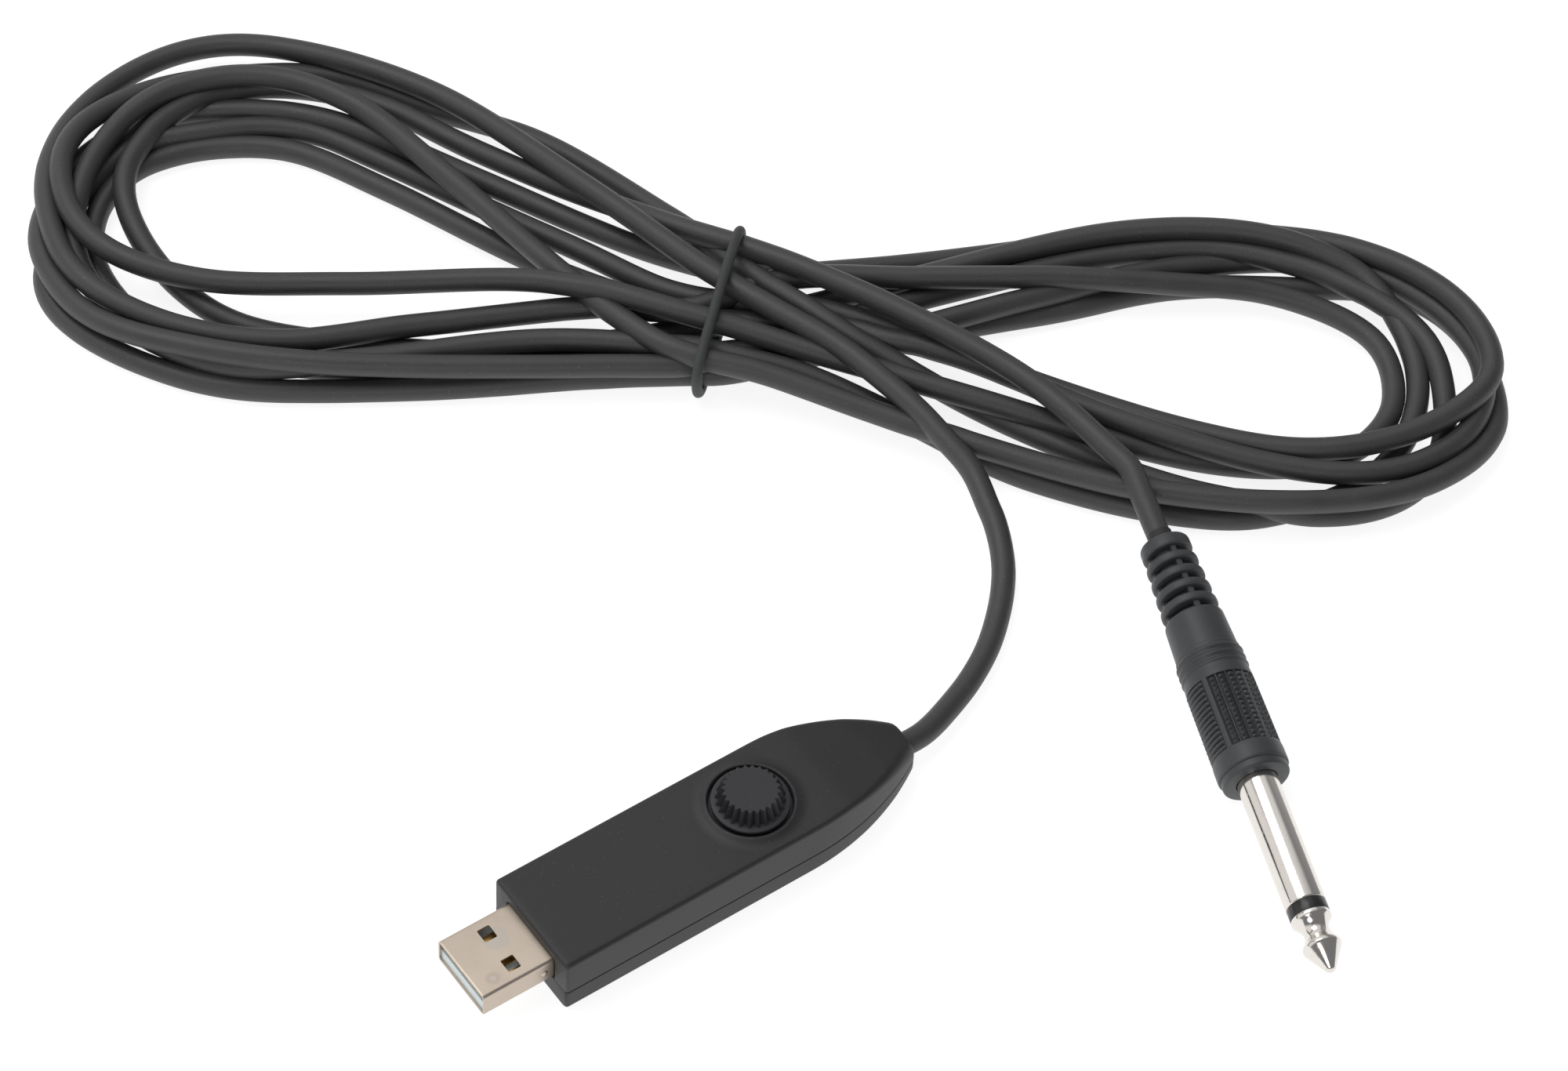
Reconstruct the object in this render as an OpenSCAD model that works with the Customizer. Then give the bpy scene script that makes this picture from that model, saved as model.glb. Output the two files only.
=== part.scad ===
// Instrument cable: a USB plug in a slim housing with a volume knob, a long
// round lead folded into a tied hank, and a mono jack with a moulded handle.
// Origin on the surface below the middle of the housing and its USB plug,
// +X towards the housing's nose, +Z up.

/* [Housing] */
// Length of the housing without the USB plug
body_l = 67; // [60:0.5:85]
// Width of the housing
body_w = 18.8; // [17.5:0.1:24]
// Height of the housing
body_h = 10.9; // [10.4:0.1:14]
// Wall of both shells
wall = 1.5; // [1:0.1:2]
// Height of the parting line between the shells
split_z = 4.2; // [3.9:0.1:4.3]
// Length over which the sides curve in to the nose
nose_l = 22.5; // [18:0.5:26]
// Width of the nose's flat end
nose_w = 6.4; // [6:0.1:8]
// Height of the top at the nose
nose_top = 7.4; // [7.2:0.1:8]
// Height of the underside at the nose
nose_low = 1; // [0.5:0.1:1.6]

/* [USB plug] */
// Length of the plug outside the housing
usb_reach = 12; // [11:0.1:14]
// Width of the plug's metal shell
usb_w = 12; // [11.9:0.05:12.1]
// Height of the plug's metal shell
usb_h = 4.5; // [4.4:0.05:4.6]
// Sheet thickness of the metal shell
usb_t = 0.3; // [0.2:0.05:0.4]
// Length of the metal shell inside the housing
usb_inset = 7.2; // [6:0.1:9]

/* [Electronics] */
// Thickness of the circuit board
board_t = 1; // [0.8:0.1:1.6]
// Room between the circuit board and the nose for the cord's end
cord_bay = 16.5; // [14:0.5:20]
// Diameter of the potentiometer
pot_d = 9.6; // [8:0.1:11]
// Diameter of the potentiometer's shaft
shaft_d = 3; // [2.5:0.1:4]

/* [Volume knob] */
// Distance of the knob's axis from the housing's USB end
knob_from_end = 38.8; // [32:0.2:45]
// Diameter of the knob's flange
flange_d = 11.7; // [10.5:0.1:13]
// Thickness of the knob's flange
flange_t = 0.6; // [0.4:0.1:1]
// Diameter of the knob just above its flange
knob_low_d = 10.6; // [9:0.1:12]
// Diameter of the knob's top
knob_top_d = 8.6; // [7:0.1:10]
// Height of the knob with its flange
knob_h = 3.2; // [2.6:0.1:5]
// Number of V grooves around the knob
knob_teeth = 24; // [16:1:36]
// Angle that the knob turns each way from its middle
knob_turn = 150; // [90:5:160]

/* [Cord] */
// Diameter of the cord
cord_d = 3.8; // [3:0.1:4.4]
// Height of the hank's two lobes
hank_h = 9; // [6:0.5:12]
// Thickness of the tie's rubber
tie_t = 1.7; // [1.2:0.1:2.5]

/* [Jack] */
// Diameter of the jack's sleeve
jack_d = 6.35; // [6.3:0.01:6.4]
// Length of the jack's metal outside the handle
jack_l = 31.6; // [30:0.1:33]
// Diameter of the handle
handle_d = 11.2; // [10:0.1:14]
// Length of the handle
handle_l = 25.5; // [22:0.5:32]
// Length of the ringed strain relief behind the handle
relief_l = 20.5; // [16:0.5:26]
// Slope of the jack, tip down
jack_tilt = 5; // [4:0.5:6]

/* [Hidden] */
$fn = 48;

big = 400;
usb_front = -(usb_reach + body_l) / 2;
end_x = usb_front + usb_reach;
nose_x = end_x + body_l;
curve_x = nose_x - nose_l;
usb_z = split_z + 0.2;
usb_rear = end_x + usb_inset;
usb_gap = 0.15;
tongue_h = 1.95;
tongue_z = usb_z + usb_t;
tongue_top = tongue_z + tongue_h;
tongue_recess = 0.4;
contact_t = 0.2;
contact_gap = 1.1;
board_z = usb_z + 0.2;
board_top = board_z + board_t;
board_x1 = nose_x - cord_bay;
board_w = body_w - 2 * wall - 1.4;
post_d = 2.4;
post_in = 4;
ceiling_z = body_h - wall;
knob_x = end_x + knob_from_end;
knob_gap = 0.25;
knob_z = body_h + knob_gap;
rim_gap = 0.35;
rim_t = 0.6;
pot_top = ceiling_z - 0.5;
pot_wall = 0.6;
pot_lid_t = 0.6;
wiper_z = board_top + pot_wall + 0.4;
wiper_t = 0.4;
shaft_gap = 0.05;
shaft_hole_gap = 0.5;
shaft_top = knob_z + knob_h - 1;
cord_z = (nose_top + nose_low) / 2;
jacket_x = nose_x - 10;
clamp_l = 3.5;
wire_d = 0.9;

// The cord's route from the housing to the hank, and from the hank to the
// jack's strain relief. Its first and last points follow the housing and jack.
hank_x = 63;
hank_y = 82;
hank_turn = -38;
tail_points = [[45, 0.6, 3.4], [50, 2.4, 2.4], [56, 5, 2], [62, 8.5, 2], [67, 12.5, 2],
               [71, 16.5, 2], [74, 20.5, 2], [76.5, 25.5, 2.2], [78, 30.5, 2.8], [78.8, 36, 3.8],
               [79.2, 41, 5]];
jack_x = 79.2;
jack_y = -35.8;
jack_z = handle_d / 2 + 0.05;
jack_heading = -108.8;
relief_end = -handle_l - relief_l;
jack_dir = [cos(jack_tilt) * cos(jack_heading), cos(jack_tilt) * sin(jack_heading), -sin(jack_tilt)];
jack_back = [jack_x, jack_y, jack_z] + relief_end * jack_dir;

// Outer shape of the housing: plan and side view crossed.
module plan(inset) {
    half = body_w / 2;
    drop = half - nose_w / 2;
    r = (nose_l * nose_l + drop * drop) / (2 * drop);
    translate([end_x + inset, inset - half])
        square([curve_x - end_x - inset, body_w - 2 * inset]);
    intersection() {
        translate([curve_x, r - half]) circle(r - inset, $fn = 96);
        translate([curve_x, half - r]) circle(r - inset, $fn = 96);
        translate([curve_x, -half]) square([nose_l - inset, body_w]);
    }
}

module side(inset) {
    slope_x = nose_x - 17;
    belly_x = nose_x - 12;
    polygon([[end_x + inset, inset], [belly_x, inset], [nose_x - 5, inset + 0.3],
             [nose_x - inset, nose_low + inset], [nose_x - inset, nose_top - inset],
             [nose_x - 7, nose_top + 2 - inset], [slope_x, body_h - inset],
             [end_x + inset, body_h - inset]]);
}

module hull_form(inset) {
    intersection() {
        linear_extrude(body_h) plan(inset);
        rotate([90, 0, 0])
            linear_extrude(body_w, center = true) side(inset);
    }
}

module cord_hole(clear) {
    translate([nose_x - 12, 0, cord_z]) rotate([0, 90, 0]) cylinder(d = cord_d + clear, h = 13);
}

module half_space(z0, z1) {
    translate([-big / 2, -big / 2, z0]) cube([big, big, z1 - z0]);
}

module upper_shell() {
    color("#17181a") {
        difference() {
            intersection() {
                hull_form(0);
                half_space(split_z, body_h);
            }
            hull_form(wall);
            translate([end_x - 1, -usb_w / 2 - usb_gap, split_z - 1])
                cube([wall + 2, usb_w + 2 * usb_gap, usb_z - split_z + usb_h + usb_gap + 1]);
            translate([knob_x, 0, 0]) cylinder(d = shaft_d + 2 * shaft_hole_gap, h = body_h + 1);
            cord_hole(0.1);
        }
        translate([knob_x, 0, body_h]) difference() {
            cylinder(d = flange_d + 2 * (rim_gap + rim_t), h = rim_t);
            translate([0, 0, -1]) cylinder(d = flange_d + 2 * rim_gap, h = rim_t + 2);
        }
    }
}

module lower_shell() {
    color("#151618") {
        difference() {
            intersection() {
                hull_form(0);
                half_space(0, split_z);
            }
            hull_form(wall);
            cord_hole(0.1);
        }
        for (x = [usb_rear + post_in, board_x1 - post_in], y = [-1, 1])
            translate([x, y * (board_w / 2 - post_d / 2), wall])
                cylinder(d = post_d, h = board_z - wall);
    }
}

module usb_shell() {
    hole_w = 2.4;
    hole_l = 2.1;
    hole_from_front = 5.5;
    hole_from_middle = 3.1;
    color("#c9bdb2") difference() {
        translate([usb_front, -usb_w / 2, usb_z]) cube([usb_reach + usb_inset, usb_w, usb_h]);
        translate([usb_front - 1, usb_t - usb_w / 2, usb_z + usb_t])
            cube([usb_reach + usb_inset + 2, usb_w - 2 * usb_t, usb_h - 2 * usb_t]);
        for (y = [-1, 1])
            translate([usb_front + hole_from_front, y * hole_from_middle - hole_w / 2, usb_z - 1])
                cube([hole_l, hole_w, usb_h + 2]);
    }
}

module usb_tongue() {
    color("#dfe8ea") translate([usb_front + tongue_recess, usb_t - usb_w / 2, tongue_z])
        cube([usb_rear - usb_front - tongue_recess, usb_w - 2 * usb_t, tongue_h]);
}

module usb_contacts() {
    contact_w = 1.2;
    lead_l = 1.2;
    leg_t = 0.4;
    color("#c8a24a") for (i = [-1.5, -0.5, 0.5, 1.5])
        translate([0, i * (contact_w + contact_gap) - contact_w / 2, 0]) {
            translate([usb_front + 2 * tongue_recess, 0, tongue_top])
                cube([usb_rear + lead_l - usb_front - 2 * tongue_recess, contact_w, contact_t]);
            translate([usb_rear + lead_l - leg_t, 0, board_top])
                cube([leg_t, contact_w, tongue_top - board_top]);
        }
}

module circuit_board() {
    color("#1f6b3c") translate([usb_rear, -board_w / 2, board_z])
        cube([board_x1 - usb_rear, board_w, board_t]);
}

module codec_chip() {
    chip_w = 6;
    chip_h = 1.2;
    color("#202020") translate([usb_rear + 7, -chip_w / 2, board_top])
        cube([chip_w, chip_w, chip_h]);
}

module clock_crystal() {
    color("#b9b9b4") translate([usb_rear + 16, 1.5, board_top]) cube([4, 2, 1.2]);
}

module chip_row(x0, y0, step, count, size) {
    for (i = [0 : count - 1]) translate([x0 + i * step, y0, board_top]) cube(size);
}

module chip_capacitors() {
    color("#b89a6a") {
        chip_row(usb_rear + 16, -3.5, 2.4, 3, [1.6, 0.8, 0.8]);
        chip_row(usb_rear + 7, 4.4, 3, 2, [2, 1.2, 1]);
    }
}

module chip_resistors() {
    color("#26262a") chip_row(usb_rear + 7, -5.6, 2.4, 4, [1.6, 0.8, 0.5]);
}

module pot_body() {
    color("#3c4a6a") translate([knob_x, 0, board_top]) difference() {
        cylinder(d = pot_d, h = pot_top - pot_lid_t - board_top);
        translate([0, 0, pot_wall]) cylinder(d = pot_d - 2 * pot_wall, h = 20);
    }
}

module pot_lid() {
    color("#b4b8bc") translate([knob_x, 0, pot_top - pot_lid_t]) difference() {
        cylinder(d = pot_d, h = pot_lid_t);
        translate([0, 0, -1]) cylinder(d = shaft_d + 2 * shaft_gap, h = pot_lid_t + 2);
    }
}

module pot_wiper() {
    wiper_d = pot_d - 2 * pot_wall - 0.8;
    color("#d8b060") translate([knob_x, 0, wiper_z]) difference() {
        cylinder(d = wiper_d, h = wiper_t);
        translate([0, 0, -1]) cylinder(d = shaft_d, h = wiper_t + 2);
    }
}

module pot_shaft() {
    color("#9a9c9e") translate([knob_x, 0, board_top + pot_wall + 0.1])
        cylinder(d = shaft_d, h = shaft_top - board_top - pot_wall - 0.1);
}

module knob_star() {
    valley = knob_top_d / 2 - 0.5;
    ridge = knob_low_d / 2 + 0.5;
    polygon([for (i = [0 : 2 * knob_teeth - 1]) (i % 2 == 0 ? ridge : valley)
             * [cos(180 * i / knob_teeth), sin(180 * i / knob_teeth)]]);
}

module volume_knob() {
    color("#111214") translate([knob_x, 0, knob_z]) difference() {
        union() {
            cylinder(d = flange_d, h = flange_t);
            intersection() {
                cylinder(d1 = knob_low_d, d2 = knob_top_d, h = knob_h);
                linear_extrude(knob_h) knob_star();
            }
        }
        translate([0, 0, -1]) cylinder(d = shaft_d, h = shaft_top - knob_z + 1);
    }
}

// What holds the cord inside the nose, and the wires that leave its jacket.
module along_x(x0, x1, d) {
    translate([x0, 0, cord_z]) rotate([0, 90, 0]) cylinder(d = d, h = x1 - x0);
}

module cord_clamp() {
    clamp_x = jacket_x + 1;
    foot_w = 4;
    color("#303236") difference() {
        intersection() {
            union() {
                along_x(clamp_x, clamp_x + clamp_l, cord_d + 1.2);
                translate([clamp_x, -foot_w / 2, 0]) cube([clamp_l, foot_w, cord_z]);
            }
            hull_form(wall);
        }
        along_x(clamp_x - 1, clamp_x + clamp_l + 1, cord_d);
    }
}

module housing_jacket_end() {
    color("#1c1d1f") along_x(jacket_x, nose_x, cord_d);
}

module lead_wire(y) {
    x0 = board_x1 - 3;
    z0 = board_top + wire_d / 2;
    color("white") translate([x0, y, z0]) rotate([0, 90, 0]) cylinder(d = wire_d, h = 4);
    translate([x0 + 4 - wire_d / 2, y, cord_z - wire_d / 2]) cylinder(d = wire_d, h = z0 - cord_z + wire_d);
    translate([x0 + 4 - wire_d / 2, y, cord_z])
        rotate([0, 90, 0]) cylinder(d = wire_d, h = jacket_x - x0 - 4 + wire_d / 2);
}

module housing_core_wires() {
    color("#b02a22") for (y = [-0.9, 0.9]) lead_wire(y);
}

module housing_screen_tail() {
    x0 = board_x1 + 0.6;
    color("#b87a4a") translate([x0, 0, cord_z - 1.2]) rotate([0, 90, 0])
        cylinder(d = 0.8, h = jacket_x - x0);
}

module solder_joints() {
    color("#c4c6c8") for (y = [-0.9, 0.9]) translate([board_x1 - 4.1, y, board_top])
        cylinder(d1 = 1.6, d2 = 0.9, h = wire_d);
}

// A round tube swept along points: one ring of corners at each point, across
// the bisector of its two runs.
sides = 8;
function unit(v) = v / norm(v);
function heading(p, i) = unit(unit(p[i + 1] - p[i]) + unit(p[i] - p[i - 1]));
function across(t) = unit(cross([0, 0, 1], t));
function ring(p, i, r, start) = let (t = i == 0 ? start
                                         : i == len(p) - 1 ? unit(p[i] - p[i - 1]) : heading(p, i),
                                     a = across(t), b = cross(t, a))
    [for (k = [0 : sides - 1]) p[i] + r * (cos(360 * k / sides) * a + sin(360 * k / sides) * b)];
// Catmull-Rom points between the chosen ones.
function spline(p, i, u) = let (a = p[max(i - 1, 0)], b = p[i], c = p[i + 1],
                                d = p[min(i + 2, len(p) - 1)])
    0.5 * (2 * b + (c - a) * u + (2 * a - 5 * b + 4 * c - d) * u * u
           + (3 * b - a - 3 * c + d) * u * u * u);
function smooth(p) = concat([for (i = [0 : len(p) - 2], u = [0, 0.5]) spline(p, i, u)],
                            [p[len(p) - 1]]);

module tube(p, d, start) {
    rings = len(p);
    corners = [for (i = [0 : rings - 1]) each ring(p, i, d / 2, start)];
    walls = [for (i = [0 : rings - 2], k = [0 : sides - 1])
             [i * sides + k, (i + 1) * sides + k,
              (i + 1) * sides + (k + 1) % sides, i * sides + (k + 1) % sides]];
    polyhedron(corners, concat([[for (k = [0 : sides - 1]) k]], walls,
               [[for (k = [sides - 1 : -1 : 0]) (rings - 1) * sides + k]]));
}

module cord_housing_tail() {
    color("#1c1d1f")
        tube(smooth(concat([[nose_x, 0, cord_z]], tail_points)), cord_d, [1, 0, 0]);
}

module hank_place() {
    translate([hank_x, hank_y, 0]) rotate([0, 0, hank_turn]) children();
}

// Each lobe of the hank is a rounded outline, and the tie holds the narrow
// bundle of strands between them.
waist_l = 30;
waist_w = 24;
waist_y = 2;
waist_low = tie_t;
waist_h = 9;

module lobe(x0, x1, w0, w1, y) {
    hull() {
        translate([x1, y]) circle(d = w1, $fn = 40);
        translate([x0, y / 3]) circle(d = w0, $fn = 24);
    }
}

module cord_hank() {
    color("#1c1d1f") hank_place() {
        linear_extrude(hank_h) lobe(-20, -77, 28, 70, 19);
        linear_extrude(hank_h) lobe(20, 94, 32, 62, -1);
        translate([-waist_l / 2, waist_y - waist_w / 2, waist_low]) cube([waist_l, waist_w, waist_h]);
    }
}

module tie_ring() {
    ring_x = 0.5;
    color("#2a2b2d") hank_place() translate([ring_x, waist_y, 0]) rotate([90, 0, 90])
        linear_extrude(tie_t, center = true) difference() {
            translate([-waist_w / 2 - tie_t, 0]) square([waist_w + 2 * tie_t, waist_h + 2 * tie_t]);
            translate([-waist_w / 2, tie_t]) square([waist_w, waist_h]);
        }
}

module cord_jack_tail() {
    color("#1c1d1f") tube(smooth([jack_back, jack_back - 3 * jack_dir,
                                  jack_back - 7 * jack_dir + [0, 0, -1.2],
                                  jack_back - 13 * jack_dir + [-1, 0, -3.4]]), cord_d, -jack_dir);
}

// The jack lies along its own +X, from 0 at the handle's front face.
module jack_place() {
    translate([jack_x, jack_y, jack_z]) rotate([0, 0, jack_heading]) rotate([0, jack_tilt, 0])
        rotate([0, 90, 0]) children();
}

module turned(profile) {
    rotate_extrude($fn = 64) polygon(profile);
}

sleeve_l = 20.3;
insulator_l = 1.2;
rod_d = 2.2;
tube_d = 3.6;
bay_d = 7.8;
bay_l = 17;
seat_l = 3;
seat_d = 7.2;
relief_d = 8.2;

module jack_handle() {
    r = handle_d / 2;
    color("#15171a") jack_place() difference() {
        turned([[0, -handle_l], [r - 0.7, -handle_l], [r - 0.4, -handle_l + 5], [r - 0.15, -handle_l + 7],
                [r - 0.15, -5], [r, -4.5], [r, -1.4], [r - 0.3, -1.2], [r - 0.3, 0], [0, 0]]);
        translate([0, 0, -seat_l - bay_l]) cylinder(d = bay_d, h = bay_l);
        translate([0, 0, -seat_l - 1]) cylinder(d = seat_d, h = seat_l + 2);
        translate([0, 0, -handle_l - 1]) cylinder(d = cord_d, h = handle_l - bay_l);
    }
}

module jack_strain_relief() {
    rings = 6;
    pitch = 2.7;
    groove = 1.2;
    color("#15171a") jack_place() translate([0, 0, relief_end]) difference() {
        cylinder(d1 = relief_d, d2 = handle_d - 1.6, h = relief_l);
        translate([0, 0, -1]) cylinder(d = cord_d, h = relief_l + 2);
        for (i = [1 : rings]) translate([0, 0, i * pitch - groove / 2]) difference() {
            cylinder(d = handle_d + 2, h = groove);
            translate([0, 0, -1]) cylinder(d = cord_d + 3.2, h = groove + 2);
        }
    }
}

module jack_jacket_end() {
    color("#1c1d1f") jack_place() translate([0, 0, relief_end])
        cylinder(d = cord_d, h = relief_l + handle_l - seat_l - bay_l + 2);
}

module jack_inner_mould() {
    inner_z = -seat_l - bay_l;
    color("#e8e4d8") jack_place() translate([0, 0, inner_z]) difference() {
        cylinder(d = bay_d - 0.1, h = 4);
        translate([0, 0, -1]) cylinder(d = cord_d, h = 6);
    }
}

module jack_sleeve() {
    color("#d2ccc2") jack_place() difference() {
        union() {
            cylinder(d = jack_d, h = sleeve_l);
            translate([0, 0, -seat_l]) cylinder(d = seat_d, h = seat_l);
            translate([0, 0, -seat_l - 1.2]) cylinder(d = bay_d - 0.2, h = 1.2);
        }
        translate([0, 0, -10]) cylinder(d = tube_d, h = sleeve_l + 20);
    }
}

module jack_insulator_tube() {
    color("#1a1a1a") jack_place() difference() {
        translate([0, 0, -seat_l - 3]) cylinder(d = tube_d, h = sleeve_l + seat_l + 3);
        translate([0, 0, -20]) cylinder(d = rod_d, h = sleeve_l + 30);
    }
}

module jack_insulator_ring() {
    color("#101010") jack_place() difference() {
        translate([0, 0, sleeve_l]) cylinder(d = jack_d - 0.5, h = insulator_l);
        translate([0, 0, sleeve_l - 1]) cylinder(d = rod_d, h = insulator_l + 2);
    }
}

module jack_sleeve_lug() {
    lug_z = -seat_l - 1.2;
    color("#c2b8a4") jack_place() {
        translate([0, 0, lug_z - 0.5]) difference() {
            cylinder(d = bay_d - 0.2, h = 0.5);
            translate([0, 0, -1]) cylinder(d = tube_d, h = 3);
        }
        translate([2.4, -1, lug_z - 5]) cube([0.5, 2, 4.6]);
    }
}

module jack_rear_washer() {
    washer_z = -seat_l - 1.7;
    color("#e6e0cc") jack_place() translate([0, 0, washer_z - 1]) difference() {
        cylinder(d = 4.6, h = 1);
        translate([0, 0, -1]) cylinder(d = tube_d, h = 3);
    }
}

module jack_tip_rod() {
    color("#cfc8bc") jack_place() translate([0, 0, -seat_l - 7])
        cylinder(d = rod_d, h = sleeve_l + insulator_l + seat_l + 7 + 2);
}

module jack_tip_terminal() {
    color("#c2b8a4") jack_place() translate([0, 0, -seat_l - 6.5]) difference() {
        cylinder(d = 3.4, h = 2);
        translate([0, 0, -1]) cylinder(d = rod_d, h = 4);
    }
}

module jack_core_wire() {
    color("#b02a22") jack_place() translate([0, 0, -seat_l - bay_l + 4.5])
        cylinder(d = 1, h = bay_l - 4.5 - 7);
}

module jack_screen_wire() {
    color("#b87a4a") jack_place() translate([3.3, 0, -seat_l - bay_l + 4])
        cylinder(d = 0.8, h = bay_l - 4 - 1.8);
}

module jack_tip() {
    base = sleeve_l + insulator_l;
    r = jack_d / 2;
    color("#d2ccc2") jack_place() difference() {
        turned([[0, base], [r - 0.1, base], [r - 0.1, base + 0.7], [1.95, base + 3.4], [1.95, base + 4],
                [2.9, base + 5.6], [3, base + 6], [2.9, base + 6.4], [0.7, jack_l], [0, jack_l]]);
        translate([0, 0, base - 1]) cylinder(d = rod_d, h = 3);
    }
}

upper_shell();
lower_shell();
usb_shell();
usb_tongue();
usb_contacts();
circuit_board();
codec_chip();
clock_crystal();
chip_capacitors();
chip_resistors();
pot_body();
pot_lid();
pot_wiper();
pot_shaft();
volume_knob();
cord_clamp();
housing_jacket_end();
housing_core_wires();
housing_screen_tail();
solder_joints();
cord_housing_tail();
cord_hank();
tie_ring();
cord_jack_tail();
jack_strain_relief();
jack_handle();
jack_inner_mould();
jack_jacket_end();
jack_core_wire();
jack_screen_wire();
jack_sleeve();
jack_sleeve_lug();
jack_insulator_tube();
jack_insulator_ring();
jack_rear_washer();
jack_tip_rod();
jack_tip_terminal();
jack_tip();
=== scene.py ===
import math
import bmesh
import bpy
import numpy as np
from mathutils import Matrix, Vector


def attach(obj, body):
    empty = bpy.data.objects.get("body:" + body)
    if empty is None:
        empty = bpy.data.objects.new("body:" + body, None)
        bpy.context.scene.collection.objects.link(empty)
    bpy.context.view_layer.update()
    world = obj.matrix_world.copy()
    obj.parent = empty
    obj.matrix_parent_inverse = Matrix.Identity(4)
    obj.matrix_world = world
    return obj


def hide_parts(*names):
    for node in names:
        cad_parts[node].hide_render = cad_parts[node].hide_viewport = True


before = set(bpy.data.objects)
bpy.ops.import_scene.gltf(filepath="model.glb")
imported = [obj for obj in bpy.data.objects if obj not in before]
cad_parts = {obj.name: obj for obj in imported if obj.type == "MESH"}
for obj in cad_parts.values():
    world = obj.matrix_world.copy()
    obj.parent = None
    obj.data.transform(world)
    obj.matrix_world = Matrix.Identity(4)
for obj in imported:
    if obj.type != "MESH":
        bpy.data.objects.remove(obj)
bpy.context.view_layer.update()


# ---------------------------------------------------------------- viewpoint
# The camera stands in front of the plug's end, about fifty degrees above
# the table, with a long lens rolled by a few degrees.
MM = 0.001
eye = Vector((-260.7, -347.5, 620.9)) * MM
aim = Vector((50.1, 45.4, 0)) * MM
roll = math.radians(3.9)
ahead = (aim - eye).normalized()
level = ahead.cross(Vector((0, 0, 1))).normalized()
upward = level.cross(ahead)
to_right = level * math.cos(roll) + upward * math.sin(roll)
to_top = upward * math.cos(roll) - level * math.sin(roll)
lens = bpy.data.cameras.new("camera")
lens.lens = 117.2
lens.sensor_width = 36
lens.clip_end = 50
camera = bpy.data.objects.new("camera", lens)
facing = Matrix((to_right, to_top, -ahead)).transposed().to_4x4()
camera.matrix_world = Matrix.Translation(eye) @ facing
bpy.context.scene.collection.objects.link(camera)
bpy.context.scene.camera = camera


# ------------------------------------------------------- studio light and table
# A white table with a glow of its own, as a light table has, and two softboxes,
# in a room of pale panels behind and to the left, dark to the right and in front.
class Link:
    """A socket of a material, with arithmetic that adds the Math nodes for it."""

    def __init__(self, tree, socket):
        self.tree = tree
        self.socket = socket

    def maths(self, operation, first, second):
        return node(self.tree, "ShaderNodeMath", {"operation": operation}, {0: first, 1: second})

    def __add__(self, other):
        return self.maths("ADD", self, other)

    def __radd__(self, other):
        return self.maths("ADD", other, self)

    def __mul__(self, other):
        return self.maths("MULTIPLY", self, other)

    def __rmul__(self, other):
        return self.maths("MULTIPLY", other, self)

    def __gt__(self, other):
        return self.maths("GREATER_THAN", self, other)


def node(tree, kind, settings=None, values=None, out=0):
    """Adds a node: its settings first, then the values or links of its sockets."""
    made = tree.nodes.new(kind)
    for name, value in (settings or {}).items():
        if name == "stops":
            ramp = made.color_ramp.elements
            while len(ramp) < len(value):
                ramp.new(1)
            for element, (position, colour) in zip(ramp, value):
                element.position = position
                element.color = (*colour, 1)
        else:
            setattr(made, name, value)
    for name, value in (values or {}).items():
        socket = made.inputs[name]
        if isinstance(value, Link):
            tree.links.new(value.socket, socket)
        elif socket.type == "RGBA" and len(value) == 3:
            socket.default_value = (*value, 1)
        else:
            socket.default_value = value
    return Link(tree, made.outputs[out] if made.outputs else None)


def mixed(tree, factor, first, second):
    """A colour part of the way from the first to the second."""
    return node(tree, "ShaderNodeMix", {"data_type": "RGBA"}, {0: factor, 6: first, 7: second}, 2)


room = bpy.data.worlds.new("room")
bpy.context.scene.world = room
room.use_nodes = True
room.node_tree.nodes.clear()
heading = node(room.node_tree, "ShaderNodeTexCoord", out="Generated")
sideways = node(room.node_tree, "ShaderNodeSeparateXYZ", values={0: heading}, out="X")
depthways = node(room.node_tree, "ShaderNodeSeparateXYZ", values={0: heading}, out="Y")
height = node(room.node_tree, "ShaderNodeSeparateXYZ", values={0: heading}, out="Z")
panels = node(room.node_tree, "ShaderNodeValToRGB",
              {"stops": [(0.20, (0.90, 0.89, 0.88)), (0.26, (0.36, 0.35, 0.34)),
                         (0.33, (0.36, 0.35, 0.34)), (0.39, (0.88, 0.88, 0.88)),
                         (0.74, (0.80, 0.80, 0.80)), (0.84, (0.26, 0.26, 0.27)),
                         (1.0, (0.40, 0.40, 0.41))]}, {0: sideways * 0.5 + 0.5})
to_front = node(room.node_tree, "ShaderNodeMapRange",
                values={0: depthways, 1: 0.12, 2: -0.18, 3: 0.0, 4: 1.0})
to_ground = node(room.node_tree, "ShaderNodeMapRange",
                 values={0: height, 1: 0.06, 2: 0.02, 3: 0.0, 4: 1.0})
glow = mixed(room.node_tree, to_front, panels, (0.22, 0.22, 0.23))
glow = mixed(room.node_tree, to_ground, glow, (0.75, 0.76, 0.78))
lit = node(room.node_tree, "ShaderNodeBackground", values={"Color": glow, "Strength": 1.0})
node(room.node_tree, "ShaderNodeOutputWorld", values={"Surface": lit})


def softbox(name, place, target, size, power):
    """A square studio light that faces a point."""
    light = bpy.data.lights.new(name, "AREA")
    light.shape = "SQUARE"
    light.size = size
    light.energy = power
    holder = bpy.data.objects.new(name, light)
    holder.location = place
    holder.rotation_euler = (Vector(target) - Vector(place)).to_track_quat("-Z", "Y").to_euler()
    bpy.context.scene.collection.objects.link(holder)


softbox("overhead_softbox", (-0.25, 0.45, 1.2), (0.06, 0.06, 0), 0.8, 4.5)
softbox("front_softbox", (-0.75, -0.85, 0.8), (0.06, 0.05, 0), 0.5, 3.0)

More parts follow.
